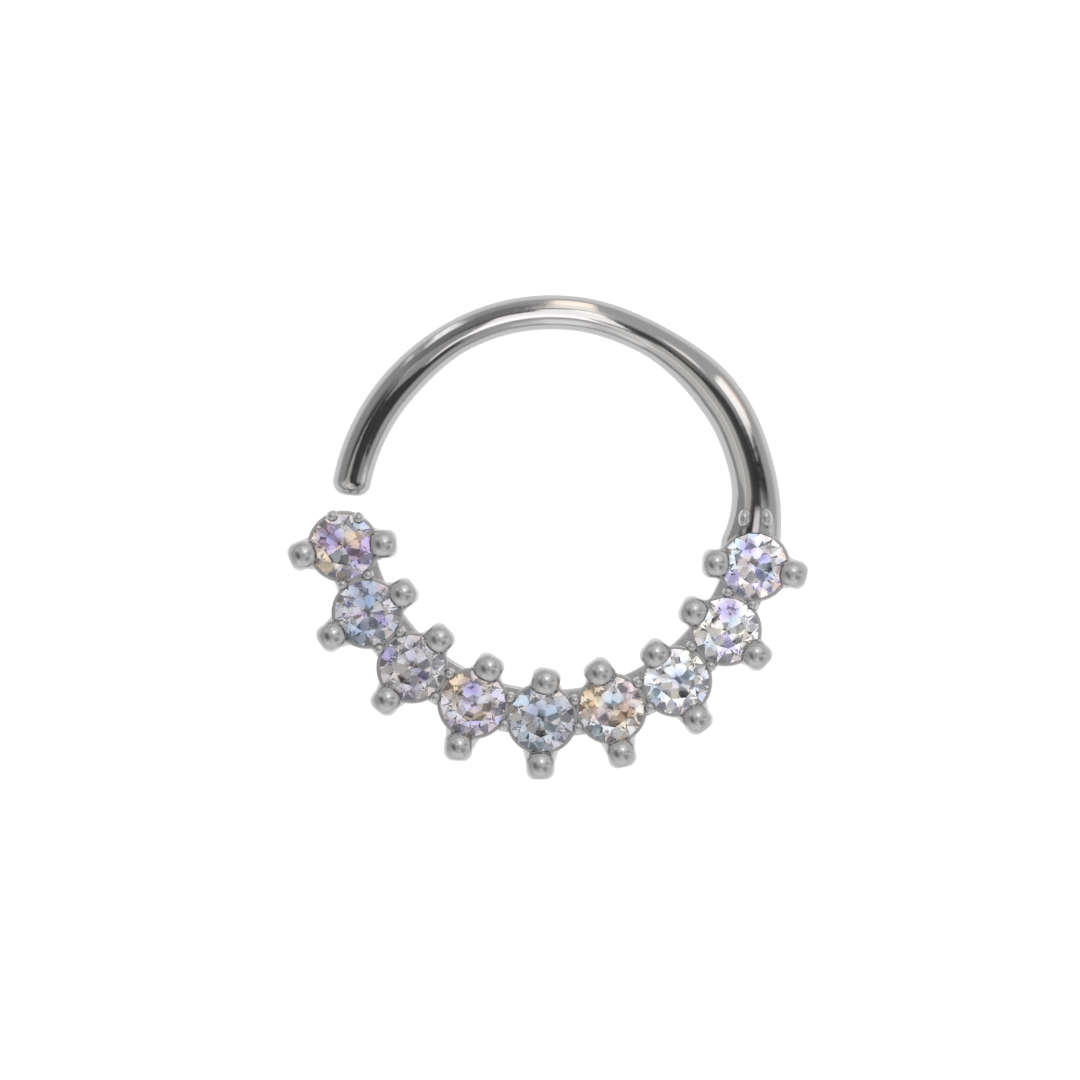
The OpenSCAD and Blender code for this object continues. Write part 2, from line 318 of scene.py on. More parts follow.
def lathe(bm, profile, sides, place):
    """Adds a closed round solid whose profile of (radius, height) starts and ends on the axis."""
    part = bmesh.new()
    verts = [part.verts.new((r, 0, z)) for r, z in profile]
    edges = [part.edges.new(pair) for pair in zip(verts, verts[1:])]
    bmesh.ops.spin(part, geom=verts + edges, cent=(0, 0, 0), axis=(0, 0, 1), angle=2 * math.pi,
                   steps=sides, use_merge=True)
    bmesh.ops.remove_doubles(part, verts=part.verts, dist=1e-4 * MM)
    add_closed(bm, part, place)


def add_closed(bm, part, place):
    """Adds a finished closed part to a bmesh, moved to its place, with its faces pointing outwards."""
    bmesh.ops.transform(part, matrix=place, verts=part.verts)
    bmesh.ops.recalc_face_normals(part, faces=part.faces)
    mesh = bpy.data.meshes.new("part")
    part.to_mesh(mesh)
    part.free()
    bm.from_mesh(mesh)
    bpy.data.meshes.remove(mesh)


def make_object(name, bm):
    """An object of that name from a bmesh, in the scene."""
    mesh = bpy.data.meshes.new(name)
    bm.to_mesh(mesh)
    bm.free()
    obj = bpy.data.objects.new(name, mesh)
    bpy.context.scene.collection.objects.link(obj)
    return obj


def cut_floor(part):
    """Cuts a part off flat where it would reach below the back of the ring."""
    geom = part.verts[:] + part.edges[:] + part.faces[:]
    bmesh.ops.bisect_plane(part, geom=geom, dist=1e-5 * MM, plane_co=(0, 0, 0), plane_no=(0, 0, -1),
                           clear_outer=True)
    bmesh.ops.holes_fill(part, edges=part.edges, sides=0)


# Places in the row, taken from the stones of the frame

def stone_centre(i):
    """Centre of stone i, counted from 0, in the plan."""
    low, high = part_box(f"stone_{i + 1}")
    middle = (low + high) / 2
    return Vector((middle.x, middle.y, 0))


def row_angle(i):
    """Direction of stone i from the row's centre, in degrees."""
    away = stone_centre(i) - ROW_CENTRE
    return math.degrees(math.atan2(away.y, away.x)) % 360


def hoop_angle(point):
    """Direction of a point from the hoop's centre, in degrees."""
    away = point - HOOP_CENTRE
    return math.degrees(math.atan2(away.y, away.x))


# The wire

def share(angle, span):
    """How far an angle has come through a span of angles, eased."""
    return ease((angle - span[0]) / (span[1] - span[0]))


def outer_edge(sizes, angle):
    """Radius of the wire's outer edge at an angle, with its slight bends."""
    shifts = [shift * (1 + math.cos(math.pi * (angle - middle) / reach)) / 2
              for middle, reach, shift in BENDS if abs(angle - middle) < reach]
    return sizes.hoop / 2 + sum(shifts) * MM


def wire_section(sizes, angle, root):
    """Outer radius, width and height of the wire at an angle, where root is the last stone's angle."""
    height = sizes.wire - (sizes.wire - sizes.slim) * share(angle, SLIMS)
    height += (sizes.tail - sizes.slim) * share(angle, THICKENS)
    fading = min(1, max(0, (root + FLARE_TO - angle) / (FLARE_TO - FLARE_FROM)))
    return outer_edge(sizes, angle), height + sizes.flare * fading ** 2, height


def wire_span(sizes, root):
    """First and last angle of the wire, and the angle that a length along it covers."""
    free = hoop_angle(stone_centre(0)) % 360
    per_length = math.degrees(1 / (sizes.hoop / 2 - sizes.tail / 2))
    prong_reach = bpy.context.scene.stone_sizes.width / 2 - END_INSET + sizes.small_bead / 2
    return root + ROOT_START, free - (sizes.end_gap + prong_reach) * per_length, per_length


def shape_wire(bm, sizes, fineness):
    """The wire: a helper circle spun round, each of its rings then drawn to its real place and width."""
    root = hoop_angle(stone_centre(len(PRONGS) - 1))
    start, end, per_length = wire_span(sizes, root)
    helper, sweep, tip_steps = 0.25, 300, 12
    rings = fineness.wire_rings
    tip = sizes.end_round * per_length
    part = bmesh.new()
    section = Matrix.Translation((1, 0, 0)) @ Matrix.Rotation(math.radians(90), 4, "X")
    made = bmesh.ops.create_circle(part, radius=helper, segments=fineness.wire_sides, matrix=section)
    loop = made["verts"]
    edges = list({e for v in loop for e in v.link_edges})
    total = rings + tip_steps
    step = math.radians(sweep / total)
    bmesh.ops.spin(part, geom=loop + edges, cent=(0, 0, 0), axis=(0, 0, 1), angle=step * total,
                   steps=total)
    for vert in part.verts:
        k = round(((math.atan2(vert.co.y, vert.co.x) + step) % (2 * math.pi)) / step) - 1
        if k <= rings:
            angle, less = mix(start, end - tip, k / rings), 0
        else:
            turn = (k - rings) / tip_steps * math.pi / 2
            angle = end - tip * (1 - math.sin(turn))
            less = sizes.end_round * (1 - math.cos(turn))
        outer, width, height = wire_section(sizes, angle, root)
        across = (math.hypot(vert.co.x, vert.co.y) - 1) / helper
        up = vert.co.z / helper
        place = polar(outer - width / 2 + (width / 2 - less) * across, angle)
        place.z = sizes.wire_lift + height / 2 + (height / 2 - less) * up
        vert.co = place
    bmesh.ops.holes_fill(part, edges=part.edges, sides=0)
    add_closed(bm, part, Matrix.Translation(HOOP_CENTRE))


# The settings

def shape_rail(bm, sizes, fineness):
    """The rail: a band with rounded upper edges, spun below the stones from the first to the last."""
    last = len(PRONGS) - 1
    start, end = row_angle(0), row_angle(last)
    middle = (stone_centre(4) - ROW_CENTRE).length - sizes.rail_inset
    half = sizes.rail_width / 2
    edge = sizes.rail_edge
    top = sizes.rail_height
    right = arc((middle + half - edge, top - edge), edge, 0, 90, 6)
    left = arc((middle - half + edge, top - edge), edge, 90, 180, 6)
    outline = [(middle - half, 0), (middle + half, 0)] + right + left
    part = bmesh.new()
    verts = [part.verts.new(polar(r, start) + Vector((0, 0, z))) for r, z in outline]
    edges = [part.edges.new(pair) for pair in zip(verts, verts[1:] + verts[:1])]
    bmesh.ops.spin(part, geom=verts + edges, cent=(0, 0, 0), axis=(0, 0, 1),
                   angle=math.radians((end - start) % 360), steps=fineness.rail_rings)
    bmesh.ops.holes_fill(part, edges=part.edges, sides=0)
    add_closed(bm, part, Matrix.Translation(ROW_CENTRE))


def shape_cup(bm, centre, sizes, fineness):
    """A cup with a slightly hollow wall and a rounded lip, solid until its seat is cut."""
    foot, lip, top = sizes.cup_foot, sizes.cup_lip, sizes.cup_height
    bead, hollow = 0.03 * MM, 0.012 * MM
    wall = [(mix(foot, lip, t) - hollow * math.sin(math.pi * t), (top - bead) * t)
            for t in (0.2, 0.4, 0.6, 0.8, 1)]
    profile = [(0, 0), (foot, 0)] + wall + arc((lip - bead, top - bead), bead, 15, 90, 5) + [(0, top)]
    lathe(bm, profile, fineness.cup_sides, Matrix.Translation(centre))


def outline_reach(sizes, angle):
    """How far a ball end with four flattened sides and rounded corners reaches in a direction."""
    from_corner = math.radians(angle % 90 - 45)
    from_flat = math.radians(45) - abs(from_corner)
    flat = sizes.ball_width / 2
    if flat * math.tan(from_flat) < flat - sizes.ball_round:
        return flat / math.cos(from_flat)
    corner = (flat - sizes.ball_round) * math.sqrt(2)
    beside = corner * math.sin(from_corner)
    return corner * math.cos(from_corner) + math.sqrt(sizes.ball_round ** 2 - beside ** 2)


def shape_ball(bm, sizes, sides, place):
    """A ball pressed flat on four sides, its edges worn round."""
    radius = sizes.ball / 2
    hardness = 14
    part = bmesh.new()
    lathe(part, arc((0, 0), radius, -90, 90, 36), sides, Matrix())
    for vert in part.verts:
        out = math.hypot(vert.co.x, vert.co.y)
        if out > 0:
            reach = outline_reach(sizes, math.degrees(math.atan2(vert.co.y, vert.co.x)))
            pressed = (1 + (out / reach) ** hardness) ** (-1 / hardness)
            vert.co.x *= pressed
            vert.co.y *= pressed
    add_closed(bm, part, place)


def shape_stem(bm, foot, tip, sizes, sides, place):
    """A stem that leans from below a cup to its tip, slightly waisted and cut off flat at the back."""
    length = (tip - foot).length
    part = bmesh.new()
    waist = 0.8
    wall = [(mix(sizes.stem_foot, sizes.stem_neck, t ** waist), length * t)
            for t in (0, 0.2, 0.4, 0.6, 0.8, 1)]
    lean = (tip - foot).to_track_quat("Z", "Y").to_matrix().to_4x4()
    lathe(part, [(0, 0)] + wall + [(0, length)], sides, Matrix.Translation(foot) @ lean)
    cut_floor(part)
    add_closed(bm, part, place)


def shape_large_prongs(balls, stems, sizes, fineness):
    """The outer and the inner prong of each stone: its ball end and the stem below it."""
    foot = Vector((0.38, 0, -0.1)) * MM
    for i, (turn, reach, twist, inner_turn, inner_reach, inner_twist) in enumerate(PRONGS):
        for away, far, spin in ((turn, reach, twist), (180 + inner_turn, inner_reach, inner_twist)):
            place = turned(row_angle(i) + away, stone_centre(i))
            tip = Vector((far * MM, 0, sizes.ball_height))
            shape_ball(balls, sizes, fineness.ball_sides, place @ turned(spin, tip))
            shape_stem(stems, foot, tip, sizes, fineness.ball_sides // 2, place)


def shape_small_prongs(bm, sizes, stones, fineness):
    """The shared pairs of beads on stems between the stones."""
    ball, stem = sizes.small_bead / 2, 0.112 * MM
    height = stones.girdle + sizes.small_rise
    joint = -math.degrees(math.acos(stem / ball))
    profile = [(0, 0), (stem, 0)] + arc((0, height), ball, joint, 90, 12)
    profile[-1] = (0, height + ball)
    for i in range(len(PRONGS) - 1):
        middle = (stone_centre(i) + stone_centre(i + 1)) / 2
        out = (middle - ROW_CENTRE).normalized()
        for side in (-1, 1):
            place = Matrix.Translation(middle + out * side * sizes.small_across)
            lathe(bm, profile, fineness.small_sides, place)


def shape_end_prongs(bm, sizes, stones, fineness):
    """The leaning pair on the first stone's free side."""
    ball, stem, joint = sizes.small_bead / 2, 0.2 * MM, -30
    foot = Vector((0.46 * MM, 0, 0.1 * MM))
    tip = Vector((stones.width / 2 - END_INSET, 0, sizes.end_height))
    length = (tip - foot).length
    profile = [(0, 0), (stem, 0)] + arc((0, length), ball, joint, 90, 12)
    profile[-1] = (0, length + ball)
    lean = (tip - foot).to_track_quat("Z", "Y").to_matrix().to_4x4()
    for turn in END_PRONGS:
        end = turned(row_angle(0) - 90 + turn, stone_centre(0))
        lathe(bm, profile, fineness.small_sides, end @ Matrix.Translation(foot) @ lean)


def shape_root_beads(bm, sizes):
    """Two long beads on the wire where it meets the last cup."""
    root = hoop_angle(stone_centre(len(PRONGS) - 1))
    angle = root + ROOT_BEADS_AT
    outer, width, height = wire_section(sizes, angle, root)
    sunk, splay = 0.085 * MM, 6
    stretch = Matrix.Diagonal((0.95, 1.5, 1.05, 1))
    for side in (-1, 1):
        middle = polar(outer - width / 2 + side * sizes.root_across, angle) + HOOP_CENTRE
        middle.z = sizes.wire_lift + height - sunk
        part = bmesh.new()
        bmesh.ops.create_uvsphere(part, u_segments=32, v_segments=20, radius=sizes.root_bead)
        add_closed(bm, part, turned(angle + side * splay, middle) @ stretch)


def cut_depths(stones):
    """Heights of a stone's crown and of its star corners, depths of its pavilion and lower corners."""
    r, half = stones.width / 2, math.cos(math.radians(22.5))
    crown, pavilion = stones.crown * r, stones.pavilion * r
    star_rise = crown * (1 - stones.star * half) / (1 - stones.table)
    return crown, star_rise, pavilion, pavilion * (1 - stones.lower * half)


def shape_seat(bm, centre, stones, fineness, fit):
    """The space that a stone needs in the metal, and the light hole below it."""
    r, top, band = stones.width / 2, stones.girdle, stones.girdle_band
    crown, star_rise, _, lower = cut_depths(stones)
    slope = lower / (r - stones.lower * r)
    hole, below = stones.back_hole, -0.2 * MM
    profile = [
        (0, below), (hole, below), (hole, top - fit - (r + fit - hole) * slope),
        (r + fit, top - fit), (r + fit, top + band + fit),
        (stones.star * r + fit, top + band + star_rise + fit),
        (stones.table * r + fit, top + band + crown + fit),
        (stones.table * r + fit, top + 2 * crown), (0, top + 2 * crown),
    ]
    lathe(bm, profile, fineness.cup_sides, Matrix.Translation(centre))


def shape_brilliant(bm, centre, turn, stones, seed):
    """A round brilliant, cut slightly uneven: rings of facet corners, wrapped in one hull."""
    r, top, band = stones.width / 2, stones.girdle, stones.girdle_band
    crown, star_rise, pavilion, lower = cut_depths(stones)
    uneven = random.Random(seed)
    table_shift = polar(stones.unevenness, uneven.uniform(0, 360))
    culet_shift = polar(1.6 * stones.unevenness, uneven.uniform(0, 360))
    none = Vector((0, 0, 0))
    rings = (
        (8, stones.table * r, top + band + crown, 0, table_shift, 0.2),
        (8, stones.star * r, top + band + star_rise, 22.5, table_shift * 0.6, 1),
        (16, r, top + band, 0, none, 0),
        (16, r, top, 0, none, 0),
        (8, stones.lower * r, top - lower, 22.5, culet_shift * 0.8, 1),
    )
    part = bmesh.new()
    for count, radius, height, offset, shift, loose in rings:
        place = turned(offset, shift + Vector((0, 0, height)))
        made = bmesh.ops.create_circle(part, radius=radius, segments=count, matrix=place)
        for vert in made["verts"]:
            sideways = polar(stones.unevenness * loose * uneven.random(), uneven.uniform(0, 360))
            vert.co += sideways - Vector((0, 0, stones.unevenness * 0.5 * loose * uneven.random()))
    bmesh.ops.create_vert(part, co=culet_shift + Vector((0, 0, top - pavilion)))
    bmesh.ops.delete(part, geom=part.edges[:], context="EDGES_FACES")
    bmesh.ops.convex_hull(part, input=part.verts)
    bmesh.ops.dissolve_limit(part, angle_limit=math.radians(0.05), verts=part.verts, edges=part.edges)
    add_closed(bm, part, turned(turn, centre))


def divide_crown(bm, cuts):
    """Divides the facets that face up, each in its own plane, so that they can carry the painted fire,
    highlights and shade.
    """
    bmesh.ops.triangulate(bm, faces=[f for f in bm.faces if f.normal.z > 0.1])
    edges = [e for e in bm.edges if any(f.normal.z > 0.1 for f in e.link_faces)]
    bmesh.ops.subdivide_edges(bm, edges=edges, cuts=cuts, use_grid_fill=True)


def painted_crown_at(point, centre, stone, radius):
    """The colour of a stone's crown at a point: its painted shade, with the painted fire, highlights and
    shade spots laid over it.
    """
    colour = Vector((1, 1, 1))
    for number, name, direction, distance, width in PAINTED_SPOTS:
        if number == stone:
            away = (point - centre - polar(distance * radius, direction)).to_2d().length / radius
            colour = colour.lerp(Vector(PAINTED_FIRE_AND_SHADE[name]), ease(1.5 - away / width))
    return Vector([min(1, c * PAINTED_STONE_SHADE[stone - 1]) for c in colour])


def solder(target, others, operation="UNION"):
    """Applies a boolean of closed meshes to target, and removes the other objects."""
    for other in others:
        step = target.modifiers.new("solder", "BOOLEAN")
        step.operation = operation
        step.solver = "MANIFOLD"
        step.object = other
        depsgraph = bpy.context.evaluated_depsgraph_get()
        result = bpy.data.meshes.new_from_object(target.evaluated_get(depsgraph))
        target.modifiers.clear()
        old = target.data
        target.data = result
        bpy.data.meshes.remove(old)
        mesh = other.data
        bpy.data.objects.remove(other)
        bpy.data.meshes.remove(mesh)
    target.data.name = target.name


def smooth_faces(obj, sharp):
    """Shades an object smooth except at edges steeper than sharp, in degrees."""
    obj.data.shade_smooth()
    obj.data.set_sharp_from_angle(angle=math.radians(sharp))


# Node helpers

class Nodes:
    """Adds nodes to a tree and links them by socket."""

    def __init__(self, tree):
        self.tree = tree
        tree.nodes.clear()

    def add(self, kind, inputs=None, **settings):
        """A node of that kind, with links or values for its inputs and its other settings."""
        node = self.tree.nodes.new(kind)
        for key, value in settings.items():
            setattr(node, key, value)
        for key, value in (inputs or {}).items():
            if isinstance(value, bpy.types.NodeSocket):
                self.tree.links.new(value, node.inputs[key])
            else:
                node.inputs[key].default_value = value
        return node

    def math(self, operation, a, b=0.0):
        """The result of a calculation with two inputs."""
        return self.add("ShaderNodeMath", {0: a, 1: b}, operation=operation).outputs[0]

    def ramp(self, value, low, high, to_low=0.0, to_high=1.0, smooth=False):
        """A value taken from one range to another, and kept within it."""
        kind = "SMOOTHSTEP" if smooth else "LINEAR"
        return self.add("ShaderNodeMapRange", {
            "Value": value, "From Min": low, "From Max": high, "To Min": to_low, "To Max": to_high,
        }, interpolation_type=kind).outputs[0]

    def blend(self, share, first, second):
        """A mix of two colours."""
        node = self.add("ShaderNodeMix", {0: share, 6: first, 7: second}, data_type="RGBA")
        return node.outputs[2]


def metal_material(name, colour, polish, wave_depth, line_depth):
    """Polished metal: soft waves and fine lines of the polishing, duller in the corners, with painted shade
    that darkens its colour there.
    """
    material = bpy.data.materials.new(name)
    material.use_nodes = True
    n = Nodes(material.node_tree)
    place = n.add("ShaderNodeTexCoord").outputs["Object"]
    waves = n.add("ShaderNodeTexNoise", {"Vector": place, "Scale": 1300, "Detail": 2}).outputs["Fac"]
    grain = n.add("ShaderNodeTexNoise", {"Vector": place, "Scale": 9000, "Detail": 4}).outputs["Fac"]
    lines_place = n.add("ShaderNodeMapping", {"Vector": place, "Rotation": (0.3, 0.5, 0.9),
                                              "Scale": (60000, 3000, 9000)}).outputs[0]
    lines = n.add("ShaderNodeTexNoise", {"Vector": lines_place, "Scale": 1, "Detail": 3}).outputs["Fac"]
    # Painted shade: ambient occlusion darkens the colour to 85% in corners and creases, and also makes them
    # rougher
    corner = n.add("ShaderNodeAmbientOcclusion", {"Distance": 0.08 * MM}, samples=2).outputs["AO"]
    open_share = n.ramp(corner, 0.2, 0.8)
    dark = tuple(c * 0.85 for c in colour) + (1,)
    light = tuple(colour) + (1,)
    shade = n.ramp(grain, 0.3, 0.7, 0.9, 1.0)
    base = n.blend(n.math("MULTIPLY", open_share, shade), dark, light)
    rough = n.math("ADD", n.ramp(grain, 0.35, 0.7, polish * 0.75, polish * 1.3),
                   n.ramp(open_share, 1, 0, 0, 0.12))
    soft_edge = n.add("ShaderNodeBevel", {"Radius": 0.03 * MM}, samples=2).outputs[0]
    wave_bump = n.add("ShaderNodeBump", {"Height": waves, "Distance": wave_depth, "Strength": 1,
                                         "Normal": soft_edge}).outputs[0]
    line_bump = n.add("ShaderNodeBump", {"Height": lines, "Distance": line_depth, "Strength": 0.6,
                                         "Normal": wave_bump}).outputs[0]
    shader = n.add("ShaderNodeBsdfPrincipled", {"Base Color": base, "Metallic": 1, "Roughness": rough,
                                                "Normal": line_bump})
    n.add("ShaderNodeOutputMaterial", {"Surface": shader.outputs[0]})
    return material


def stone_material(finish):
    """Clear stone, its crown coloured with painted fire, painted highlights and painted shade."""
    material = bpy.data.materials.new("clear_stone")
    material.use_nodes = True
    n = Nodes(material.node_tree)
    fire = n.add("ShaderNodeAttribute", attribute_name="fire").outputs["Color"]
    shader = n.add("ShaderNodeBsdfPrincipled", {
        "Base Color": fire, "Roughness": 0.07, "IOR": finish.stone_ior, "Transmission Weight": 1,
    })
    n.add("ShaderNodeOutputMaterial", {"Surface": shader.outputs[0]})
    return material


# The operators

def row_solid(scene):
    """The rail, cups, prongs and root beads as one object, before the stones' seats are cut."""
    sizes, stones, fineness = scene.hoop_sizes, scene.stone_sizes, scene.fineness
    names = ("rail", "even_cups", "odd_cups", "stems", "balls", "small_prongs", "end_prongs", "root_beads")
    groups = {name: bmesh.new() for name in names}
    shape_rail(groups["rail"], sizes, fineness)
    for i in range(len(PRONGS)):
        shape_cup(groups["odd_cups" if i % 2 else "even_cups"], stone_centre(i), sizes, fineness)
    shape_large_prongs(groups["balls"], groups["stems"], sizes, fineness)
    shape_small_prongs(groups["small_prongs"], sizes, stones, fineness)
    shape_end_prongs(groups["end_prongs"], sizes, stones, fineness)
    shape_root_beads(groups["root_beads"], sizes)
    row = make_object(ROW_PIECE, groups.pop("rail"))
    solder(row, [make_object(name, bm) for name, bm in groups.items()])
    return row


def seat_solid(scene, fit):
    """The spaces of all nine stones as one object."""
    bm = bmesh.new()
    for i in range(len(PRONGS)):
        shape_seat(bm, stone_centre(i), scene.stone_sizes, scene.fineness, fit)
    return make_object("seats", bm)


def finish_metal(piece, material):
    """Shades a metal piece, gives it its finish and its body, and hides the node that it stands for."""
    smooth_faces(piece, sharp=32)
    piece.data.materials.clear()
    piece.data.materials.append(material)
    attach(piece, "root")
    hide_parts(METAL_NODE)


class JEWEL_OT_wire(bpy.types.Operator):
    """Draws the round wire from the last setting to its free end"""

    bl_idname = "jewel.wire"
    bl_label = "Draw the wire"

    def execute(self, context):
        scene = context.scene
        bm = bmesh.new()
        shape_wire(bm, scene.hoop_sizes, scene.fineness)
        wire = make_object(WIRE_PIECE, bm)
        solder(wire, [row_solid(scene), seat_solid(scene, scene.stone_sizes.fit)], "DIFFERENCE")
        finish = scene.finish
        finish_metal(wire, metal_material("wire_polish", finish.metal, finish.wire_polish,
                                          0.006 * MM, 0.0006 * MM))
        return {"FINISHED"}


class JEWEL_OT_row(bpy.types.Operator):
    """Casts the rail, the cups, the prongs and the beads in one piece, and cuts the stones' seats"""

    bl_idname = "jewel.row"
    bl_label = "Cast the settings"

    def execute(self, context):
        scene = context.scene
        row = row_solid(scene)
        solder(row, [seat_solid(scene, scene.stone_sizes.fit)], "DIFFERENCE")
        finish = scene.finish
        # The settings take the lighter painted copy of the wire's metal colour
        finish_metal(row, metal_material("cast_polish", finish.cast, finish.cast_polish,
                                         0.012 * MM, 0.0004 * MM))
        return {"FINISHED"}


class JEWEL_OT_stones(bpy.types.Operator):
    """Cuts the round brilliants and sets one in each cup"""

    bl_idname = "jewel.stones"
    bl_label = "Cut the stones"

    def execute(self, context):
        scene = context.scene
        material = stone_material(scene.finish)
        for i, prong in enumerate(PRONGS):
            bm = bmesh.new()
            sizes, centre = scene.stone_sizes, stone_centre(i)
            shape_brilliant(bm, centre, row_angle(i) + prong[0], sizes, i + 1)
            divide_crown(bm, scene.fineness.crown_cuts)
            stone = make_object(f"brilliant_{i + 1}", bm)
            # Painted fire, highlights and shade on the crown; the rest of the stone keeps its body colour
            colours = stone.data.color_attributes.new("fire", "FLOAT_COLOR", "POINT")
            body = Vector(scene.finish.stone)
            for vert, item in zip(stone.data.vertices, colours.data):
                crown = vert.co.z > sizes.girdle + sizes.girdle_band / 2
                fire = painted_crown_at(vert.co, centre, i + 1, sizes.width / 2) if crown else Vector((1, 1, 1))
                item.color = tuple(fire * body) + (1,)
            stone.data.materials.append(material)
            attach(stone, "root")
            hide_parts(f"stone_{i + 1}")
        return {"FINISHED"}


# The light tent round the ring, painted in this order, each patch over the earlier ones
# columns: azimuth and half width in degrees, softness of the sides, nearest and furthest angle from
# straight up, softness of those, colour and strength
TENT = (0.52, 0.52, 0.525)
TENT_PATCHES = (
    ("left_half", 170, 60, 50, 20, 95, 40, (1.0, 1.0, 1.0), 0.38),
    ("upper_left", 110, 14, 12, 10, 62, 16, (1.0, 0.99, 1.0), 0.25),
    ("lower_left_dark", 200, 24, 18, 18, 46, 16, (1.0, 0.97, 0.95), 0.1),
    ("overhead", 90, 180, 20, -10, 17, 14, (1.0, 0.98, 1.02), 0.08),
    ("dark_right", 13, 9, 8, -10, 60, 20, (1.0, 0.98, 1.04), 0.04),
    ("dark_left", 158, 15, 10, -10, 46, 24, (1.0, 1.0, 1.0), 0.045),
    ("dark_low", 328, 26, 14, -10, 56, 16, (1.0, 0.97, 0.95), 0.06),
)

# What the stones gather: cells of light and dark all round, each with a slight tint of its own
CELLS = {"Scale": 2.8, "Smoothness": 0.25, "Randomness": 1.0}
CELL_DARK = 0.25
CELL_LIGHT = 1.5
# The two tints that the cells take, each at its strongest
CELL_COOL = (0.62, 0.74, 1.0)
CELL_WARM = (1.0, 0.72, 0.52)

# Lamps that light the settings alone: azimuth and angle from straight up of the middle, width and
# height, all in degrees, colour and strength
ROW_CARDS = (
    ("spot", 66, 25, 12, 12, (1.0, 0.99, 0.97), 1.5),
    ("spot_glow", 74, 42, 44, 28, (1.0, 0.99, 0.98), 0.28),
    ("over", 90, 0, 34, 34, (1.0, 0.99, 0.99), 0.3),
    ("right", 6, 38, 36, 58, (1.0, 0.99, 0.99), 0.17),
    ("left_top", 128, 36, 46, 52, (1.0, 0.99, 0.98), 0.22),
    ("low_right", 326, 38, 54, 46, (1.0, 0.99, 0.98), 0.22),
    ("low", 262, 62, 60, 30, (1.0, 0.99, 0.98), 0.18),
    ("low_left", 222, 54, 34, 30, (1.0, 0.99, 0.98), 0.12),
    ("rim_right_top", 45, 88, 80, 20, (1.0, 0.99, 0.97), 0.16),
    ("rim_left_top", 135, 88, 80, 20, (1.0, 0.99, 0.97), 0.16),
    ("rim_left_low", 225, 88, 80, 20, (1.0, 0.99, 0.97), 0.16),
    ("rim_right_low", 315, 88, 80, 20, (1.0, 0.99, 0.97), 0.16),
)

# The same for the wire alone
WIRE_CARDS = (
    ("white_right", 37, 53, 25, 32, (1.0, 0.98, 0.95), 1.05),
    ("brown_right", 38, 74, 20, 8, (1.0, 0.58, 0.42), 0.7),
    ("top", 84, 46, 11, 28, (1.0, 0.92, 0.84), 0.95),
    ("peach_top", 84, 72, 12, 28, (1.0, 0.79, 0.64), 1.3),
    ("streak_left", 119, 74, 5, 36, (1.0, 1.0, 1.0), 1.2),
    ("streak_low", 129, 74, 4, 20, (1.0, 1.0, 1.0), 0.6),
    ("inner_left", 218, 56, 56, 34, (1.0, 0.985, 0.95), 0.34),
    ("inner_low", 207, 30, 48, 28, (1.0, 0.985, 0.95), 0.5),
    ("low", 262, 68, 40, 30, (1.0, 0.98, 1.0), 0.26),
    ("low_lilac", 265, 72, 15, 56, (1.0, 0.93, 1.0), 0.36),
    ("root_right", 352, 55, 14, 60, (1.0, 0.99, 0.99), 0.33),
)

# Small cards just over the wire, which face straight down
# columns: place to the right of and above the hoop's centre and height, width and length in mm
NEAR_CARDS = (
    ("over_top", -0.5, 3.75, 3.8, 2.0, 2.5, (1.0, 0.955, 1.0), 1.35),
    ("over_top_middle", 0.1, 5.35, 3.8, 1.1, 0.7, (1.0, 0.98, 0.97), 1.35),
    ("over_top_right", 0.95, 4.75, 3.8, 0.9, 2.4, (1.0, 0.98, 0.97), 1.4),
    ("over_top_left", -2.8, 3.7, 3.8, 2.4, 1.8, (1.0, 1.0, 1.0), 0.35),
    ("over_root", 4.75, -0.5, 3.6, 1.1, 1.5, (1.0, 0.93, 0.98), 1.0),
)
CARD_DISTANCE = 60 * MM


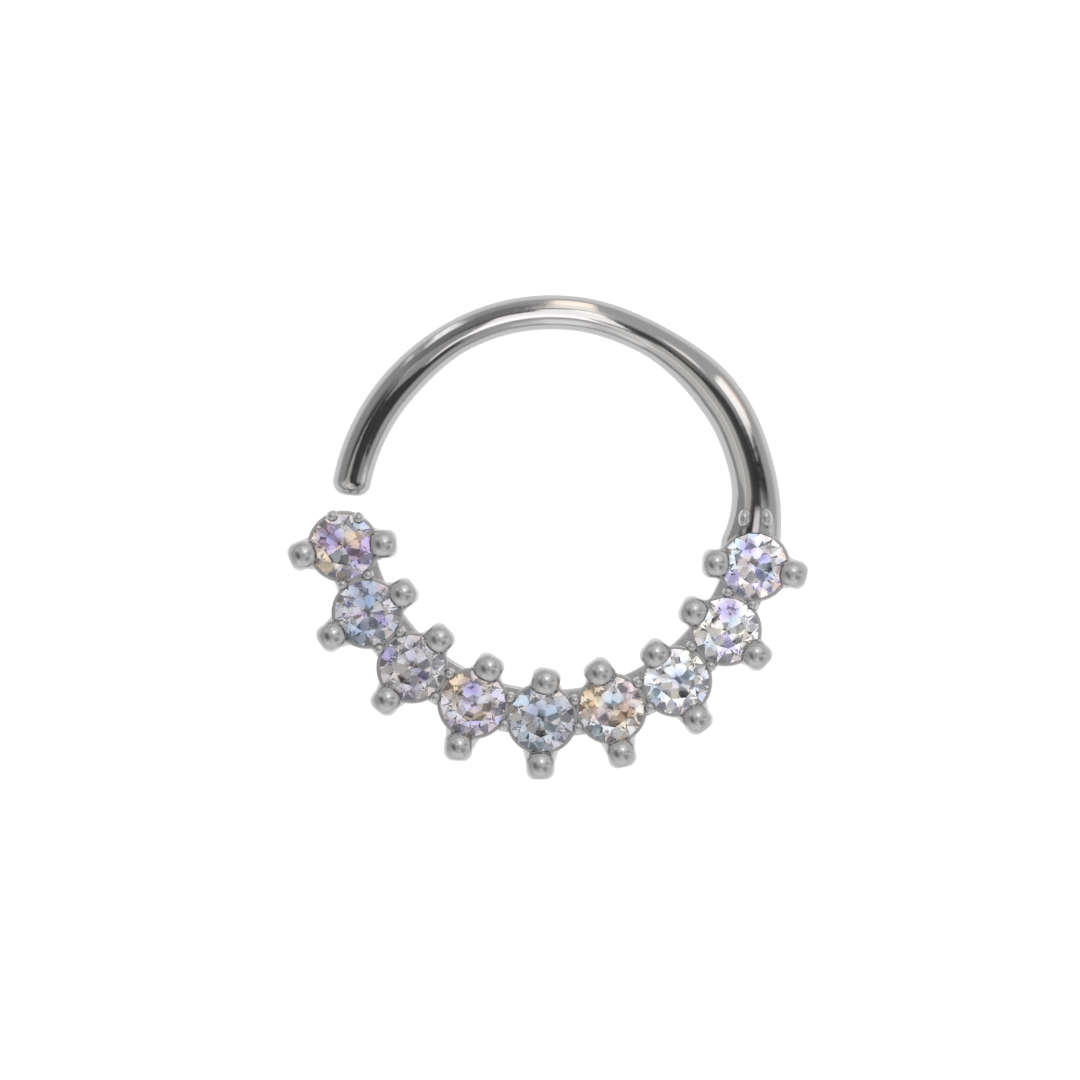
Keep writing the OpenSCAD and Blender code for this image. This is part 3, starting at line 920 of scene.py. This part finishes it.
class JEWEL_OT_stage(bpy.types.Operator):
    """Sets the floor, the tent with its cards, the lights and the camera"""

    bl_idname = "jewel.stage"
    bl_label = "Set the stage"

    def execute(self, context):
        scene = context.scene
        self.floor(scene)
        self.tent(scene)
        self.lights(scene)
        self.camera(scene)
        scene.view_settings.view_transform = "Standard"
        return {"FINISHED"}

    def floor(self, scene):
        """A white floor that glows evenly where the camera sees it; the metal mirrors a dimmer painted
        glow, a pool of light that fades further from the ring.
        """
        bm = bmesh.new()
        bmesh.ops.create_grid(bm, x_segments=1, y_segments=1, size=1.5)
        floor = make_object("floor", bm)
        material = bpy.data.materials.new("floor")
        material.use_nodes = True
        n = Nodes(material.node_tree)
        place = n.add("ShaderNodeTexCoord").outputs["Object"]
        grain = n.add("ShaderNodeTexNoise", {"Vector": place, "Scale": 900, "Detail": 3}).outputs["Fac"]
        colour = tuple(scene.finish.floor) + (1,)
        paler = tuple(min(1, c * 1.02) for c in scene.finish.floor) + (1,)
        base = n.blend(grain, colour, paler)
        seen = n.add("ShaderNodeLightPath").outputs["Is Camera Ray"]
        away = n.add("ShaderNodeVectorMath", {0: place, 1: HOOP_CENTRE}, operation="DISTANCE")
        # Painted glow seen in reflections: a pool of light round the ring, 0.37 near it, 0.05 from 9.5 mm
        # out
        mirrored_painted_glow = n.ramp(away.outputs["Value"], 6.8 * MM, 9.5 * MM, 0.37, 0.05)
        glow = n.add("ShaderNodeMix", {0: seen, 2: mirrored_painted_glow, 3: 0.7}, data_type="FLOAT").outputs[0]
        shader = n.add("ShaderNodeBsdfPrincipled", {"Base Color": base, "Roughness": 0.9,
                                                    "Specular IOR Level": 0.1,
                                                    "Emission Color": (1, 1, 1, 1),
                                                    "Emission Strength": glow})
        n.add("ShaderNodeOutputMaterial", {"Surface": shader.outputs[0]})
        floor.data.materials.append(material)

    def tent(self, scene):
        """The world as a light tent of soft patches: one for the metal, one for the stones."""
        world = bpy.data.worlds.new("tent")
        world.use_nodes = True
        scene.world = world
        n = Nodes(world.node_tree)
        way = n.add("ShaderNodeTexCoord").outputs["Generated"]
        level = n.add("ShaderNodeVectorMath", {0: way, 1: (1, 1, 0)}, operation="MULTIPLY").outputs[0]
        flat = n.add("ShaderNodeVectorMath", {0: level}, operation="NORMALIZE").outputs[0]
        height = n.add("ShaderNodeSeparateXYZ", {0: way}).outputs["Z"]
        slope = n.math("MULTIPLY", n.math("ARCCOSINE", height), 180 / math.pi)
        metal = self.patches(n, flat, slope, TENT, TENT_PATCHES)
        cell = n.add("ShaderNodeTexVoronoi", {"Vector": way, **CELLS}, feature="SMOOTH_F1").outputs["Color"]
        channels = n.add("ShaderNodeSeparateColor", {"Color": cell}).outputs
        bright = n.ramp(channels["Red"], 0.22, 0.86, CELL_DARK, CELL_LIGHT, smooth=True)
        cool = n.blend(n.ramp(channels["Green"], 0.5, 1), (1, 1, 1, 1), CELL_COOL + (1,))
        tint = n.blend(n.ramp(channels["Blue"], 0.62, 1), cool, CELL_WARM + (1,))
        stones = n.add("ShaderNodeVectorMath", {0: tint, "Scale": bright}, operation="SCALE").outputs[0]
        rays = n.add("ShaderNodeLightPath").outputs
        tents = [n.add("ShaderNodeBackground", {"Color": colour}).outputs[0]
                 for colour in (metal, stones, (1, 1, 1, 1))]
        studio = n.add("ShaderNodeMixShader", {0: rays["Is Transmission Ray"], 1: tents[0], 2: tents[1]})
        world_shader = n.add("ShaderNodeMixShader", {0: rays["Is Camera Ray"], 1: studio.outputs[0],
                                                     2: tents[2]})
        n.add("ShaderNodeOutputWorld", {"Surface": world_shader.outputs[0]})

    def patches(self, n, flat, slope, base, rows):
        """Paints the patches over a base colour, by level direction and angle from straight up."""
        colour = base + (1,)
        for _, azimuth, half, soft, near, far, fade, tint, strength in rows:
            facing = n.add("ShaderNodeVectorMath", {0: flat, 1: polar(1, azimuth)},
                           operation="DOT_PRODUCT").outputs["Value"]
            low = math.cos(math.radians(min(180, half + soft)))
            high = math.cos(math.radians(max(0, half - soft)))
            across = n.ramp(facing, low, high, smooth=True) if half < 180 else 1
            above = n.ramp(slope, near - fade / 2, near + fade / 2, smooth=True)
            below = n.ramp(slope, far - fade / 2, far + fade / 2, 1, 0, smooth=True)
            weight = n.math("MULTIPLY", n.math("MULTIPLY", above, below), across)
            colour = n.blend(weight, colour, tuple(c * strength for c in tint) + (1,))
        return colour

    def lights(self, scene):
        """The lamp for the floor, and the cards that light the row alone or the wire alone."""
        overhead = self.lamp(scene, "overhead", Vector((50, 80, 500)) * MM, (500 * MM, 500 * MM), 1.2)
        overhead.visible_glossy = False
        overhead.visible_transmission = False
        for cards, piece in ((ROW_CARDS, ROW_PIECE), (WIRE_CARDS, WIRE_PIECE)):
            for name, azimuth, slope, width, height, tint, strength in cards:
                up = math.radians(90 - slope)
                way = polar(math.cos(up), azimuth) + Vector((0, 0, math.sin(up)))
                size = [2 * CARD_DISTANCE * math.tan(math.radians(a / 2)) for a in (width, height)]
                card = self.lamp(scene, name, HOOP_CENTRE + way * CARD_DISTANCE, size, strength, tint)
                self.link(card, piece)
        for name, right, up, height, width, length, tint, strength in NEAR_CARDS:
            place = HOOP_CENTRE + Vector((right, up, height)) * MM
            card = self.lamp(scene, name, place, (width * MM, length * MM), strength, tint, down=True)
            self.link(card, WIRE_PIECE)

    def lamp(self, scene, name, place, size, radiance, tint=(1, 1, 1), down=False):
        """A flat lamp that faces the ring, or straight down, with its length up the sky."""
        data = bpy.data.lights.new(name, "AREA")
        data.shape = "RECTANGLE"
        data.size, data.size_y = size
        data.energy = radiance * math.pi * size[0] * size[1]
        data.color = tint
        lamp = bpy.data.objects.new(name, data)
        lamp.matrix_world = Matrix.Translation(place)
        if not down:
            lamp.matrix_world @= (place - HOOP_CENTRE).to_track_quat("Z", "Y").to_matrix().to_4x4()
        scene.collection.objects.link(lamp)
        return lamp

    def link(self, lamp, piece):
        """Lets a lamp light only the named piece."""
        lit = bpy.data.collections.new(lamp.name)
        lit.objects.link(bpy.data.objects[piece])
        lamp.light_linking.receiver_collection = lit

    def camera(self, scene):
        """Straight above the ring, with the ring as large and as far off centre as in the photograph."""
        aim = HOOP_CENTRE + Vector((-0.3354, -0.404, 0.9)) * MM
        view_width = 23.84 * MM
        data = bpy.data.cameras.new("camera")
        data.sensor_width = 36
        data.lens = 400
        data.clip_start = 0.01
        data.clip_end = 5
        camera = bpy.data.objects.new("camera", data)
        camera.location = aim + Vector((0, 0, view_width * data.lens / data.sensor_width))
        scene.collection.objects.link(camera)
        scene.camera = camera


class JEWEL_PT_panel(bpy.types.Panel):
    """Lists the steps and sizes of the hoop"""

    bl_label = "Daith Hoop"
    bl_idname = "JEWEL_PT_panel"
    bl_space_type = "VIEW_3D"
    bl_region_type = "UI"
    bl_category = "Jewel"

    def draw(self, context):
        layout = self.layout
        for step in STEPS:
            layout.operator(step.bl_idname)
        for name in GROUPS:
            group = getattr(context.scene, name)
            column = layout.column(align=True)
            for field in group.__annotations__:
                column.prop(group, field)


STEPS = (JEWEL_OT_wire, JEWEL_OT_row, JEWEL_OT_stones, JEWEL_OT_stage)
GROUPS = {"hoop_sizes": HoopSizes, "stone_sizes": StoneSizes, "fineness": Fineness, "finish": Finish}


def register():
    for group in GROUPS.values():
        bpy.utils.register_class(group)
    for step in STEPS:
        bpy.utils.register_class(step)
    bpy.utils.register_class(JEWEL_PT_panel)
    for name, group in GROUPS.items():
        setattr(bpy.types.Scene, name, PointerProperty(type=group))


def unregister():
    for name in GROUPS:
        delattr(bpy.types.Scene, name)
    bpy.utils.unregister_class(JEWEL_PT_panel)
    for step in reversed(STEPS):
        bpy.utils.unregister_class(step)
    for group in reversed(GROUPS.values()):
        bpy.utils.unregister_class(group)


def main():
    register()
    bpy.ops.jewel.wire()
    bpy.ops.jewel.row()
    bpy.ops.jewel.stones()
    bpy.ops.jewel.stage()


if __name__ == "__main__":
    main()
